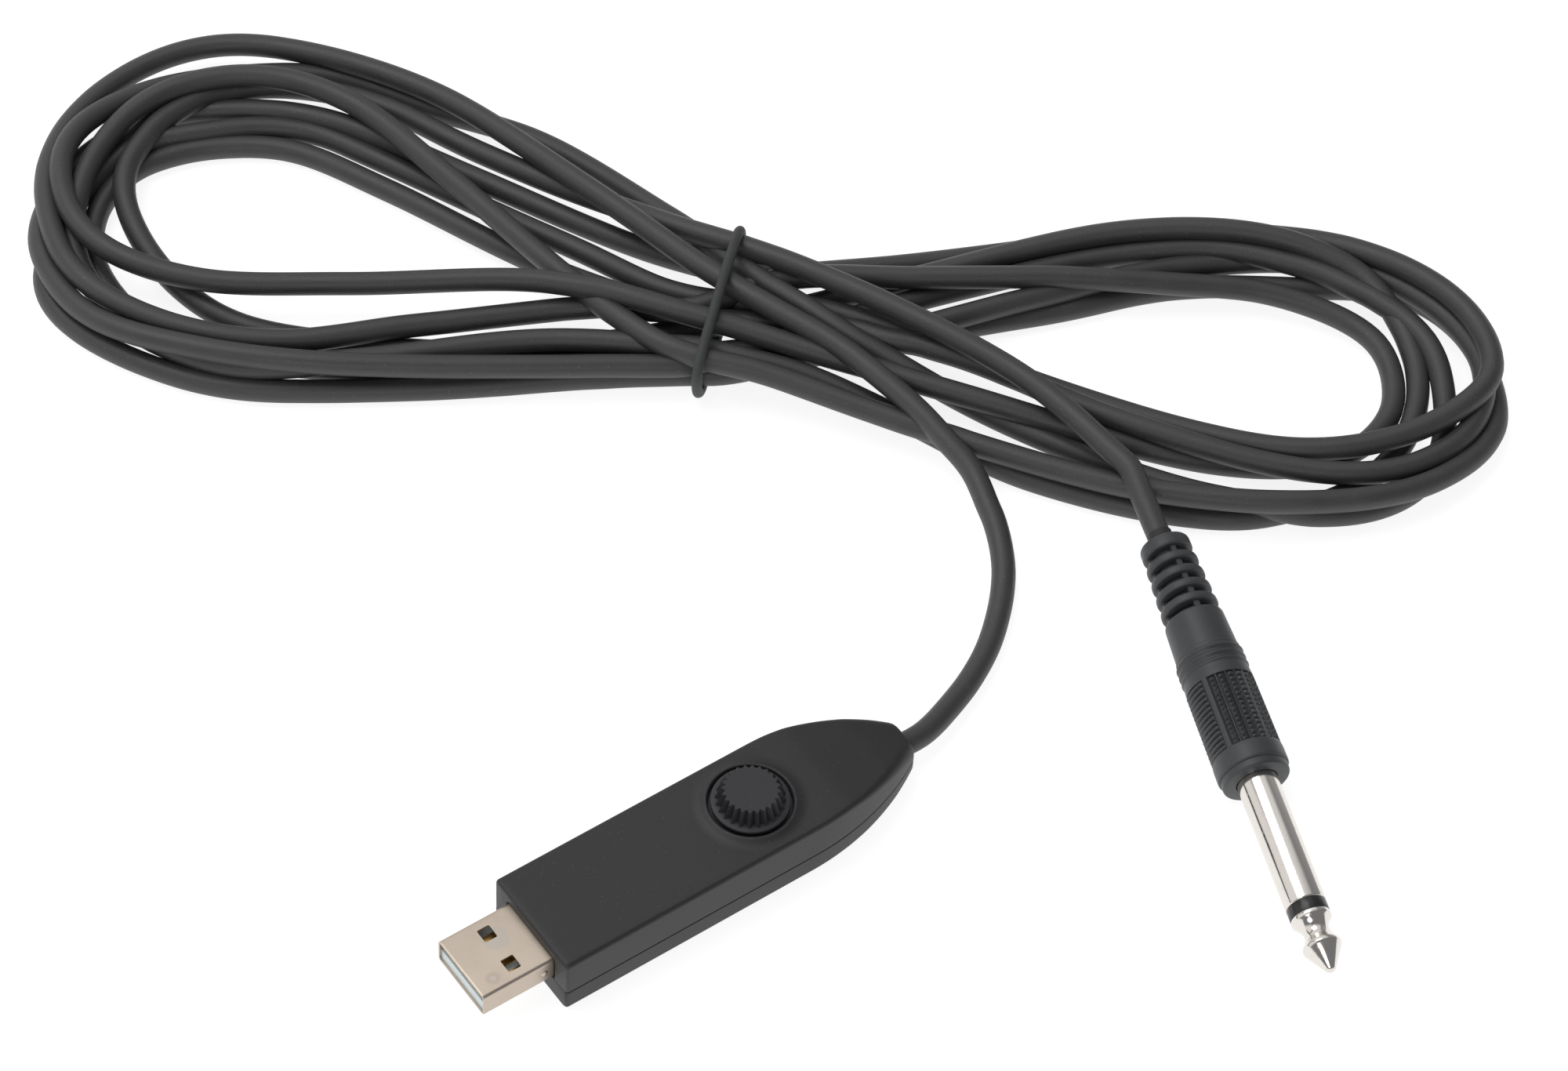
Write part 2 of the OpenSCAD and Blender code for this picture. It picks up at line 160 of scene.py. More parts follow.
TABLE_HALF = 4.0
table_corners = [(-1, -1, 0), (1, -1, 0), (1, 1, 0), (-1, 1, 0)]
table_mesh = bpy.data.meshes.new("table")
table_mesh.from_pydata(table_corners, [], [(0, 1, 2, 3)])
table_mesh.transform(Matrix.Scale(TABLE_HALF, 4))
table = bpy.data.objects.new("table", table_mesh)
bpy.context.scene.collection.objects.link(table)


def finish(name, **constants):
    """A new material, its tree and its surface shader, with the constant sockets set."""
    made = bpy.data.materials.new(name)
    made.use_nodes = True
    tree = made.node_tree
    shader = tree.nodes["Principled BSDF"]
    for socket, value in constants.items():
        shader.inputs[socket.replace("_", " ")].default_value = value
    return made, tree, shader


def connect(shader, **links):
    """Feeds the shader's sockets that change over the surface."""
    for socket, link in links.items():
        link.tree.links.new(link.socket, shader.inputs[socket.replace("_", " ")])


def noise(tree, scale, detail=2.0, rough=0.5, where=None):
    """Even-sized mottling; scale is in spots per metre."""
    values = {"Scale": scale, "Detail": detail, "Roughness": rough}
    values["Vector"] = where or node(tree, "ShaderNodeTexCoord", out="Object")
    return node(tree, "ShaderNodeTexNoise", values=values)


paper, tree, shader = finish("table_white", Specular_IOR_Level=0.1, Emission_Color=(1, 1, 1, 1),
                             Emission_Strength=0.85)
grain = noise(tree, 40)
connect(shader, Base_Color=mixed(tree, grain, (0.34, 0.34, 0.345), (0.38, 0.38, 0.38)),
        Roughness=0.7 + grain * 0.1)
table_mesh.materials.append(paper)
bpy.context.scene.view_settings.view_transform = "Standard"


# ---------------------------------------------------------------------- lead
# One round soft PVC cord from the housing's nose to the jack, folded back and
# forth into a hank by hand and laid flat, its strands lying over each other.
CORD_D = 3.8
ABOVE_TABLE = 0.02
GROUND = CORD_D / 2 + ABOVE_TABLE
HANK_AT = np.array([63.1, 81.9])
HANK_TURN = math.radians(-38.345)
LAYER = 3.4
TIE_T = 1.7

# From the nose to the hank, in the housing's axes.
tail = [(37.5, 0, 4.2), (39.5, 0, 4.2), (42, 0.1, 3.9), (45, 0.6, 3.4), (50, 2.4, 2.4), (56, 5, 2),
        (62, 8.5, 2), (67, 12.5, 2), (71, 16.5, 2), (74, 20.5, 2), (76.5, 25.5, 2.2), (78, 30.5, 2.8)]

# Back and forth through the hank: along it, across it, and the layer. These
# were not chosen by hand: another program fitted them to a trace of the
# strands, thinned them and rounded them to whole millimetres and half layers.
passes = [
    (39, -23, 10), (22, -7, 10), (-1, 8, 9.5), (-24, 27, 9), (-50, 47, 8.5), (-76, 56, 8),
    (-93, 54, 8), (-106, 42, 8), (-111, 25, 8), (-106, 5, 7.5), (-92, -6, 7), (-71, -9, 6.5),
    (-48, -3, 6), (-22, 3, 5), (-5, 3, 4),
    (11, 11, 5), (32, 13, 6), (68, 16, 8), (89, 17, 7), (105, 10, 5.5), (108, -4, 4),
    (99, -15, 4), (81, -18, 4), (54, -14, 6), (25, -7, 8), (-4, 0, 8.5),
    (-30, 5, 9), (-60, 3, 9), (-84, 2, 9), (-101, 8, 9), (-109, 21, 9), (-107, 35, 9),
    (-93, 47, 9), (-70, 53, 7.5), (-50, 47, 6.5), (-31, 40, 6.5), (-10, 24, 7.5), (6, 9, 8),
    (23, -2, 7.5), (50, -15, 5), (75, -25, 2.5), (96, -28, 2), (110, -22, 2), (116, -10, 2),
    (114, 8, 3.5), (101, 20, 5), (81, 26, 4.5), (60, 23, 4.5), (35, 13, 4), (14, 2, 2.5),
    (-2, -7, 2.5), (-19, -10, 3), (-61, -14, 3.5), (-84, -12, 4), (-101, -5, 4), (-110, 10, 5),
    (-108, 27, 5), (-98, 39, 5), (-85, 43, 5), (-67, 41, 5), (-42, 31, 4.5), (-12, 18, 3),
    (5, 15, 3),
    (23, 18, 3), (61, 27, 4), (85, 29, 4), (105, 24, 4), (119, 13, 4.5), (123, -1, 6.5),
    (112, -12, 6.5), (95, -17, 6), (75, -14, 5), (38, -2, 4), (14, 4, 3.5),
    (-6, 6, 3.5), (-27, 18, 3.5), (-58, 35, 3.5), (-72, 40, 4), (-87, 37, 4), (-100, 31, 4),
    (-108, 15, 4), (-108, 1, 3.5), (-97, -9, 2.5), (-77, -15, 2), (-50, -13, 1.5),
    (-20, -8, 1.5), (3, -5, 1),
    (29, 4, 1), (54, 14, 2), (79, 24, 3), (100, 25, 3), (115, 17, 3.5), (123, 4, 4),
    (120, -10, 5), (108, -19, 5.5), (90, -20, 5.5), (64, -13, 5), (39, -2, 4.5), (19, 3, 3),
    (-2, 4, 3), (-27, 13, 3), (-56, 29, 3), (-75, 37, 3), (-93, 34, 3), (-102, 24, 3),
    (-102, 9, 2.5), (-91, -5, 1), (-74, -10, 1), (-53, -11, 0.5), (-26, -8, 0.5),
    (18, 1, 0.5), (50, 11, 1), (72, 19, 2), (93, 21, 3), (110, 21, 3), (121, 11, 3.5),
    (124, -7, 4), (113, -21, 4), (94, -28, 3.5), (67, -27, 3.5), (32, -17, 6), (9, -10, 7.5),
    (-8, -6, 8), (-22, 5, 7.5), (-46, 28, 7), (-64, 43, 7), (-81, 47, 7), (-97, 40, 6.5),
    (-105, 24, 6), (-104, 7, 4), (-93, -7, 3.5), (-76, -14, 3.5), (-55, -11, 3), (-26, -5, 5),
    (7, -7, 8),
    (27, -13, 6.5), (51, -24, 1.5), (78, -29, 1.5), (98, -24, 1), (110, -11, 1.5), (112, 6, 2),
    (103, 21, 6), (86, 27, 7), (62, 26, 6.5), (34, 17, 4), (3, 5, 2),
    (-32, -4, 2.5), (-59, -5, 3.5), (-79, -2, 4), (-93, 10, 4.5), (-99, 26, 5.5), (-91, 42, 6),
    (-77, 48, 6), (-60, 46, 6), (-41, 36, 6), (-9, 20, 9.5), (16, 9, 10.5), (47, -8, 10.5),
    (64, -24, 9.5),
]

# The jack's place, and the way from its tip's side back through its strain relief.
JACK_AT = np.array([79.2, -35.8, 5.65])
JACK_HEADING = math.radians(-108.8)
JACK_TILT = math.radians(5)
HANDLE_L = 25.5
RELIEF_L = 20.5
CORD_IN_RELIEF = 13
jack_way = np.array([math.cos(JACK_TILT) * math.cos(JACK_HEADING),
                     math.cos(JACK_TILT) * math.sin(JACK_HEADING), -math.sin(JACK_TILT)])
relief_back = JACK_AT - (HANDLE_L + RELIEF_L) * jack_way

along_hank = np.array([math.cos(HANK_TURN), math.sin(HANK_TURN)])
across_hank = np.array([-math.sin(HANK_TURN), math.cos(HANK_TURN)])


def to_hank(points):
    """Points in the housing's axes, in the hank's: along it, across it, up."""
    flat = points[:, :2] - HANK_AT
    return np.column_stack([flat @ along_hank, flat @ across_hank, points[:, 2]])


def from_hank(points):
    """The same way back."""
    flat = HANK_AT + np.outer(points[:, 0], along_hank) + np.outer(points[:, 1], across_hank)
    return np.column_stack([flat, points[:, 2]])


def flowing(points, count):
    """A smooth line through the points, with so many steps from each to the next."""
    held = np.vstack([2 * points[0] - points[1], points, 2 * points[-1] - points[-2]])
    t = (np.arange(count) / count)[:, None]
    spans = []
    for a, b, c, d in zip(held, held[1:], held[2:], held[3:]):
        spans.append(0.5 * (2 * b + (c - a) * t + (2 * a - 5 * b + 4 * c - d) * t ** 2
                            + (3 * b - a - 3 * c + d) * t ** 3))
    return np.vstack([*spans, points[-1:]])


def evenly(points, step, measure=3):
    """Points spaced evenly along a line, by its length in the first two or all three axes."""
    runs = np.linalg.norm(np.diff(points[:, :measure], axis=0), axis=1)
    along = np.concatenate([[0], np.cumsum(runs)])
    wanted = np.linspace(0, along[-1], int(round(along[-1] / step)) + 1)
    return np.column_stack([np.interp(wanted, along, points[:, k]) for k in range(points.shape[1])])


def eased(values, reach, share):
    """Brings each value part of the way to the middle of its neighbours that far away."""
    middle = (values[:-2 * reach] + values[2 * reach:]) / 2
    values[reach:-reach] += share * (middle - values[reach:-reach])


FAST_FALL = 0.2
SLOW_FALL = 0.06
FREE_DRIFT = 0.96
LOOKOUT = 2.2
PUSH = 0.3
SIDE_SHARE = 0.4
LEAST_SHORT = 1.2
TIE_REACH = 9


def settled(line, first_fixed, last_fixed, rounds=300):
    """The cord let down: it falls, bends stiffly, and rests on the table and on itself."""
    line = line.copy()
    route = line[:, :2].copy()
    order = np.arange(len(line))
    held_first = line[:first_fixed].copy()
    held_last = line[-last_fixed:].copy()
    for turn in range(rounds):
        if turn % 4 == 0:
            gaps = ((line[:, None] - line[None]) ** 2).sum(2)
            close = (gaps < (CORD_D + LOOKOUT) ** 2) & (order[None] - order[:, None] > 4)
            near = np.nonzero(close)
        line[:, 2] -= FAST_FALL if turn < rounds / 2 else SLOW_FALL
        if turn > rounds * 0.3:
            for reach in (6, 2):
                eased(line[:, 2], reach, 0.2)
        shift = line[:, :2] - route
        for reach in (6, 2, 1):
            eased(shift, reach, 0.5)
        line[:, :2] = route + FREE_DRIFT * shift
        for _ in range(3):
            apart = line[near[0]] - line[near[1]]
            distance = np.linalg.norm(apart, axis=1) + 1e-9
            pressed = distance < CORD_D
            apart = apart[pressed]
            short = (CORD_D - distance)[pressed]
            push = (PUSH * short / distance[pressed])[:, None] * apart
            push[:, :2] *= SIDE_SHARE
            least = PUSH * np.minimum(short, LEAST_SHORT)
            push[:, 2] = np.sign(apart[:, 2]) * np.maximum(np.abs(push[:, 2]), least)
            np.add.at(line, near[0][pressed], push)
            np.add.at(line, near[1][pressed], -push)
            over_tie = TIE_T * np.exp(-(line[:, 0] / TIE_REACH) ** 2)
            line[:, 2] = np.maximum(line[:, 2], GROUND + over_tie)
            line[:first_fixed] = held_first
            line[-last_fixed:] = held_last
    for _ in range(6):
        eased(line[:, 2], 2, 0.5)
        eased(line[:, 2], 1, 0.5)
    line[:, 2] = np.maximum(line[:, 2], GROUND)
    return line


lead_in = to_hank(np.array(tail, float))
middle = np.array(passes, float)
middle[:, 2] = GROUND + middle[:, 2] * LAYER
behind_relief = (14, 9, 3, -3, -8, -CORD_IN_RELIEF)
lead_out = to_hank(np.array([relief_back - s * jack_way for s in behind_relief]))
lead_out[0, 2] -= 2.4
lead_out[1, 2] -= 0.9
STEP = 3.0
FINE_STEP = 1.4
start = evenly(flowing(np.vstack([lead_in, middle, lead_out]), 10), STEP, 2)
first_fixed = int(np.argmin(np.linalg.norm(start[:40] - lead_in[-2], axis=1)))
last_fixed = int(len(start) - np.argmin(np.linalg.norm(start - lead_out[2], axis=1)))
rested = settled(start, first_fixed, last_fixed)
lead_line = from_hank(evenly(flowing(rested, 4), FINE_STEP))

curve = bpy.data.curves.new("lead", "CURVE")
curve.dimensions = "3D"
curve.bevel_depth = CORD_D / 2 * MM
curve.bevel_resolution = 6
curve.use_fill_caps = True
spline = curve.splines.new("POLY")
spline.points.add(len(lead_line) - 1)
for point, place in zip(spline.points, lead_line):
    point.co = (*(place * MM), 1)
spline.use_smooth = True
lead = bpy.data.objects.new("lead_cord", curve)
bpy.context.scene.collection.objects.link(lead)

jacket, tree, shader = finish("cord_jacket", Specular_IOR_Level=0.6)
cloud = noise(tree, 160, 3)
fine = noise(tree, 2600, 2)
dust = noise(tree, 3600, 0.0)
speck = (dust > 0.80) * 0.6
faded = mixed(tree, cloud, (0.032, 0.0315, 0.033), (0.054, 0.053, 0.055))
connect(shader, Base_Color=mixed(tree, speck, faded, (0.12, 0.12, 0.118)),
        Roughness=0.38 + cloud * 0.2 + fine * 0.05,
        Normal=node(tree, "ShaderNodeBump", values={"Strength": 0.5, "Distance": 0.00006,
                                                     "Height": fine + cloud * 0.6}))
curve.materials.append(jacket)
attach(lead, "lead")
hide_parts("cord_housing_tail", "cord_hank", "cord_jack_tail")


# ----------------------------------------------------------------- tie ring
# A moulded rubber ring stretched round the middle of the hank. It leans a
# little, and its front end stands off in a small loop.
def mesh_piece(name, points, faces, body="lead"):
    """A new piece from points in millimetres, riding on a body."""
    mesh = bpy.data.meshes.new(name)
    mesh.from_pydata([tuple(p) for p in np.asarray(points) * MM], [], faces)
    mesh.update()
    piece = bpy.data.objects.new(name, mesh)
    bpy.context.scene.collection.objects.link(piece)
    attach(piece, body)
    return piece


def skin(name, rings, body="lead", closed=False, sharp=None):
    """A piece over rings of points, its last ring joined to the first or both ends filled."""
    rings = np.asarray(rings)
    count, around = rings.shape[:2]
    faces = []
    for i in range(count if closed else count - 1):
        here = i * around
        there = (i + 1) % count * around
        for k in range(around):
            side = (k + 1) % around
            faces.append((here + k, here + side, there + side, there + k))
    if not closed:
        faces.append(tuple(range(around))[::-1])
        faces.append(tuple(range((count - 1) * around, count * around)))
    piece = mesh_piece(name, rings.reshape(-1, 3), faces, body)
    shape = bmesh.new()
    shape.from_mesh(piece.data)
    bmesh.ops.recalc_face_normals(shape, faces=shape.faces)
    shape.to_mesh(piece.data)
    shape.free()
    piece.data.shade_smooth()
    if sharp:
        piece.data.set_sharp_from_angle(angle=math.radians(sharp))
    return piece


LEAN = 0.17
LEAN_AT = -0.9
STAND_OFF = 1.6
STAND_OFF_REACH = 2.2
lean_way = np.array([LEAN, 1.0]) / math.hypot(LEAN, 1)
off_plane = rested[:, 0] - LEAN * rested[:, 1] - LEAN_AT
cuts = []
for i in np.nonzero(off_plane[:-1] * off_plane[1:] < 0)[0]:
    share = off_plane[i] / (off_plane[i] - off_plane[i + 1])
    cuts.append(rested[i] + share * (rested[i + 1] - rested[i]))
cuts = np.array(cuts)
section = np.column_stack([cuts[:, 1] * math.hypot(LEAN, 1), cuts[:, 2]])
ring_line = []
for turn in np.linspace(0, 2 * math.pi, 72, endpoint=False):
    way = np.array([math.cos(turn), math.sin(turn)])
    ring_line.append(section[np.argmax(section @ way)] + (CORD_D + TIE_T) / 2 * way)
ring_line = evenly(np.array([*ring_line, ring_line[0]]), 1.0)[:-1]
front = np.exp(-((ring_line[:, 0] - ring_line[:, 0].min()) / STAND_OFF_REACH) ** 2)
ring_line[:, 0] -= STAND_OFF * front
for _ in range(6):
    ring_line = (ring_line + (np.roll(ring_line, 1, 0) + np.roll(ring_line, -1, 0)) / 2) / 2
ring_line[:, 1] = np.maximum(ring_line[:, 1], TIE_T / 2)
tie_line = np.column_stack([LEAN_AT + ring_line[:, 0] * lean_way[0],
                            ring_line[:, 0] * lean_way[1], ring_line[:, 1]])
tie_line = from_hank(tie_line)


def swept(line, radius, around):
    """Rings of points round a closed line that lies near one plane."""
    run = np.roll(line, -1, 0) - np.roll(line, 1, 0)
    run /= np.linalg.norm(run, axis=1)[:, None]
    turns = np.linspace(0, 2 * math.pi, around, endpoint=False)
    plane = np.linalg.svd(line - line.mean(0))[2][2]
    side = np.cross(run, plane)
    side /= np.linalg.norm(side, axis=1)[:, None]
    other = np.cross(run, side)
    return (line[:, None] + radius * (np.cos(turns)[None, :, None] * side[:, None]
                                      + np.sin(turns)[None, :, None] * other[:, None]))


tie = skin("tie_band", swept(tie_line, TIE_T / 2, 20), closed=True)
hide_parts("tie_ring")
rubber, tree, shader = finish("tie_rubber", Specular_IOR_Level=0.3)
cloud = noise(tree, 420, 3)
fine = noise(tree, 3200, 2)
connect(shader, Base_Color=mixed(tree, cloud, (0.044, 0.047, 0.048), (0.066, 0.070, 0.070)),
        Roughness=0.55 + cloud * 0.2,
        Normal=node(tree, "ShaderNodeBump", values={"Strength": 0.5, "Distance": 0.00005, "Height": fine}))
tie.data.materials.append(rubber)


# ---------------------------------------------------------- housing shells
# Two injection-moulded halves in satin black ABS with a fine spark-eroded
# grain, closed along a line below the plug. The nose narrows to the cord.
BODY_W = 18.8
BODY_H = 10.9
END_X = -27.5
NOSE_X = 39.5
NOSE_L = 22.5
NOSE_W = 6.4
SPLIT_Z = 4.2
WALL = 1.5
USB_Z = 4.4
USB_H = 4.5
USB_W = 12.0
CORD_Z = 4.2
KNOB_X = 11.3


def half_width(x):
    """Half the housing's width: straight sides, then two arcs in to the nose."""
    drop = (BODY_W - NOSE_W) / 2
    radius = (NOSE_L ** 2 + drop ** 2) / (2 * drop)
    past = max(0.0, x - (NOSE_X - NOSE_L))
    return BODY_W / 2 - (radius - math.sqrt(radius ** 2 - past ** 2))


def roof(x):
    """Height of the top, which slopes down to the nose."""
    return float(np.interp(x, (NOSE_X - 19, NOSE_X - 16, NOSE_X - 7, NOSE_X - 3, NOSE_X),
                           (BODY_H, BODY_H - 0.12, BODY_H - 1.5, 8.4, 7.4)))


def keel(x):
    """Height of the underside, which lifts at the nose."""
    return float(np.interp(x, (NOSE_X - 12, NOSE_X - 5, NOSE_X), (0.0, 0.3, 1.0)))


def half_section(x, inset, upper):
    """Outline of one shell at x, from edge to edge and back along the parting line."""
    wide = half_width(x) - inset
    far = (roof(x) - inset) if upper else (keel(x) + inset)
    lip = 0.1 if inset == 0 else 0.0
    seam = SPLIT_Z + (0.07 if upper else -0.07)
    away = 1 if upper else -1
    nose_share = max(0.0, (x - NOSE_X + NOSE_L) / NOSE_L)
    rounding = (0.75 + 1.5 * nose_share ** 2) if upper else (0.9 + 0.9 * nose_share)
    rounding = max(0.2, min(rounding - inset * 0.3, abs(far - seam) - 0.4, wide - 0.3))
    outline = [(wide - lip, seam), (wide, seam + away * lip)]
    for turn in np.linspace(0, math.pi / 2, 9):
        outline.append((wide - rounding * (1 - math.cos(turn)),
                        far - away * rounding * (1 - math.sin(turn))))
    for share in np.linspace(0.9, 0.0, 8):
        outline.append(((wide - rounding) * share, far))
    other = [(-y, z) for y, z in outline[-2::-1]]
    whole = outline + other
    for share in np.linspace(-0.9, 0.9, 10):
        whole.append(((wide - lip) * share, seam))
    return [(x, y, z) for y, z in whole]


def shell_rings(inset, upper, start, stop):
    """The shell's outline at places along it, drawn in at both ends for their soft edges."""
    edge = 0.55
    places = [(start, edge), (start + 0.04, 0.36), (start + 0.14, 0.17), (start + 0.3, 0.05)]
    places += [(x, 0.0) for x in np.linspace(start + edge, stop - edge, 72)]
    places += [(stop - 0.3, 0.05), (stop - 0.14, 0.17), (stop - 0.04, 0.36), (stop, edge)]
    rings = []
    for x, pulled in places:
        ring = np.array(half_section(x, inset, upper))
        wide = max(abs(ring[:, 1]).max(), 1e-6)
        tall = max(abs(ring[:, 2] - SPLIT_Z).max(), 1e-6)
        if inset == 0:
            ring[:, 1] *= 1 - pulled / wide
            ring[:, 2] = SPLIT_Z + (ring[:, 2] - SPLIT_Z) * (1 - pulled / tall)
        rings.append(ring)
    return rings


def turned(profile, around, centre=(0, 0, 0), lay=None):
    """Rings of points turned round a vertical axis, or round the axis that lay gives."""
    turns = np.linspace(0, 2 * math.pi, around, endpoint=False)
    rings = []
    for z, radius in profile:
        spread = np.broadcast_to(np.asarray(radius, float), turns.shape)
        ring = np.column_stack([spread * np.cos(turns), spread * np.sin(turns), np.full(around, z)])
        if lay is not None:
            ring = ring @ lay.T
        rings.append(ring + np.array(centre))
    return rings


def cutter_of(name, rings):
    """A piece over rings of points that only cuts or joins, and then goes."""
    return skin(name, rings)


def carved(piece, cutters, operation="DIFFERENCE"):
    """Cuts the cutters out of a piece, or joins them to it, and removes them."""
    for cutter in cutters:
        change = piece.modifiers.new("cut", "BOOLEAN")
        change.operation = operation
        change.solver = "EXACT"
        change.object = cutter
        bpy.context.view_layer.update()
        whole = piece.evaluated_get(bpy.context.evaluated_depsgraph_get())
        mesh = bpy.data.meshes.new_from_object(whole)
        piece.modifiers.clear()
        old = piece.data
        piece.data = mesh
        mesh.name = piece.name
        bpy.data.meshes.remove(old)
        cutter_mesh = cutter.data
        bpy.data.objects.remove(cutter)
        bpy.data.meshes.remove(cutter_mesh)


def rounded_box_rings(x_places, wide, tall, middle_z, corner, grow=None):
    """Rings of a rounded rectangle, square to X, grown by an amount at each place."""
    rings = []
    for i, x in enumerate(x_places):
        more = 0 if grow is None else grow[i]
        half_w = wide / 2 + more
        half_t = tall / 2 + more
        soft = corner + max(more, -corner * 0.9)
        ring = []
        for quarter, (sy, sz) in enumerate(((1, 1), (-1, 1), (-1, -1), (1, -1))):
            for turn in np.linspace(0, math.pi / 2, 6):
                bend = quarter * math.pi / 2 + turn
                ring.append((x, sy * (half_w - soft) + soft * math.cos(bend),
                             middle_z + sz * (half_t - soft) + soft * math.sin(bend)))
        rings.append(np.array(ring))
    return rings


along_x = np.array([[0, 0, 1], [0, 1, 0], [-1, 0, 0]], float)
top_shell = skin("housing_top", shell_rings(0, True, END_X, NOSE_X))
base_shell = skin("housing_base", shell_rings(0, False, END_X, NOSE_X))

# The soft collar that rises round the knob, with its steep inner wall.
collar = [(BODY_H - 0.8, 8.9), (BODY_H + 0.004, 8.9), (BODY_H + 0.02, 8.5), (BODY_H + 0.07, 8.1),
          (BODY_H + 0.17, 7.7), (BODY_H + 0.32, 7.35), (BODY_H + 0.47, 7.08), (BODY_H + 0.57, 6.88),
          (BODY_H + 0.6, 6.72), (BODY_H + 0.57, 6.56), (BODY_H + 0.46, 6.45), (BODY_H + 0.3, 6.42)]
well = [(BODY_H - 0.35, 6.22), (BODY_H + 0.3, 6.4), (BODY_H + 3, 6.5)]
carved(top_shell, [cutter_of("collar", turned(collar, 96, (KNOB_X, 0, 0)))], "UNION")
slot_x = (END_X - 1, END_X + 0.001, END_X + 0.22, END_X + WALL + 1)
for shell, upper in ((top_shell, True), (base_shell, False)):
    cuts_here = [cutter_of("hollow", shell_rings(WALL, upper, END_X + WALL, NOSE_X - WALL)),
                 cutter_of("cord_way", turned([(NOSE_X - 4, 1.98), (NOSE_X - 0.35, 1.98), (NOSE_X + 1, 2.7)],
                                              48, (0, 0, CORD_Z), along_x)),
                 cutter_of("plug_way", rounded_box_rings(slot_x, USB_W + 0.36, USB_H + 0.36,
                                                         USB_Z + USB_H / 2, 0.5, (0.26, 0.26, 0, 0)))]
    if upper:
        cuts_here.append(cutter_of("knob_well", turned(well, 96, (KNOB_X, 0, 0))))
        cuts_here.append(cutter_of("shaft_way", turned([(BODY_H - 4, 2), (BODY_H, 2)], 32, (KNOB_X, 0, 0))))
    carved(shell, cuts_here)
    shell.data.shade_smooth()
    shell.data.set_sharp_from_angle(angle=math.radians(38))
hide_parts("upper_shell")
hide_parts("lower_shell")


def moulded(name, dark, light, rough, grain_scale=5200, grain_depth=0.00004):
    """Moulded black plastic: a fine even grain, faint mottling and a little dust."""
    made, tree, shader = finish(name, Specular_IOR_Level=0.5)
    cloud = noise(tree, 90, 4)
    fine = noise(tree, grain_scale, 2)
    dust = noise(tree, 3000, 0.0)
    worn = mixed(tree, cloud, dark, light)
    connect(shader, Base_Color=mixed(tree, (dust > 0.82) * 0.4, worn, (0.12, 0.12, 0.12)),
            Roughness=rough + cloud * 0.1 + fine * 0.08,
            Normal=node(tree, "ShaderNodeBump", values={"Strength": 0.6, "Distance": grain_depth,
                                                        "Height": fine}))
    return made


shell_plastic = moulded("shell_plastic", (0.0165, 0.016, 0.0178), (0.0225, 0.022, 0.024), 0.42)
for shell in (top_shell, base_shell):
    shell.data.materials.clear()
    shell.data.materials.append(shell_plastic)


# --------------------------------------------------------------- USB plug
# A shell folded from nickel-plated sheet with two latch windows and a dimple,
# around a pale moulded tongue with four gold contacts.
USB_FRONT = -39.5
USB_REAR = -20.3
SHEET = 0.3
usb_mid_z = USB_Z + USB_H / 2
outer_x = [USB_FRONT, USB_FRONT + 0.03, USB_FRONT + 0.09, *np.linspace(USB_FRONT + 0.3, USB_REAR, 20)]
outer_grow = [-0.09, -0.03, 0.0] + [0.0] * 20
plug = skin("usb_plug_shell", rounded_box_rings(outer_x, USB_W, USB_H, usb_mid_z, 0.55, outer_grow))
inner_x = [USB_FRONT - 1, USB_FRONT, USB_FRONT + 0.08, USB_REAR + 1]
plug_cuts = [cutter_of("plug_bore", rounded_box_rings(inner_x, USB_W - 2 * SHEET, USB_H - 2 * SHEET,
                                                      usb_mid_z, 0.3, (0.07, 0.07, 0, 0)))]
WINDOW_X = USB_FRONT + 5.5
for y in (-3.1, 3.1):
    window = rounded_box_rings((0, 20), 2.4, 2.1, 0, 0.22)
    window = [np.column_stack([WINDOW_X + 1.05 + r[:, 2], y + r[:, 1], r[:, 0] - 5]) for r in window]
    plug_cuts.append(cutter_of("window", window))
carved(plug, plug_cuts)
dimple = [(-0.25, 0.62), (0.0, 0.6), (0.1, 0.5), (0.18, 0.3), (0.2, 0.02)]
DIMPLE_X = -29.0
DIMPLE_Z = 6.6
to_side = np.array([[1, 0, 0], [0, 0, -1], [0, 1, 0]], float)
for side in (1, -1):
    lay = to_side if side == 1 else np.diag([1, -1, 1]) @ to_side
    dimple_at = (DIMPLE_X, -side * (USB_W / 2 - 0.02), DIMPLE_Z)
    carved(plug, [cutter_of("dimple", turned(dimple, 32, dimple_at, lay))], "UNION")
plug.data.shade_smooth()
plug.data.set_sharp_from_angle(angle=math.radians(40))
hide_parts("usb_shell")

nickel, tree, shader = finish("plug_nickel", Metallic=1.0)
place = node(tree, "ShaderNodeTexCoord", out="Object")
cloud = noise(tree, 260, 5, 0.6)
brushed = noise(tree, 1, 3, where=node(tree, "ShaderNodeVectorMath", {"operation": "MULTIPLY"},
                                       {0: place, 1: (260, 5200, 5200)}))


def patch(tree, centre, radius, edge):
    """One inside a round mark, falling to nought over its edge, in millimetres."""
    where = node(tree, "ShaderNodeTexCoord", out="Object")
    apart = node(tree, "ShaderNodeVectorMath", {"operation": "DISTANCE"},
                 {0: where, 1: tuple(c * MM for c in centre)}, "Value")
    ragged = apart + noise(tree, 900) * (0.5 * MM)
    return node(tree, "ShaderNodeMapRange", values={0: ragged, 1: radius * MM, 2: (radius + edge) * MM,
                                                    3: 1.0, 4: 0.0})


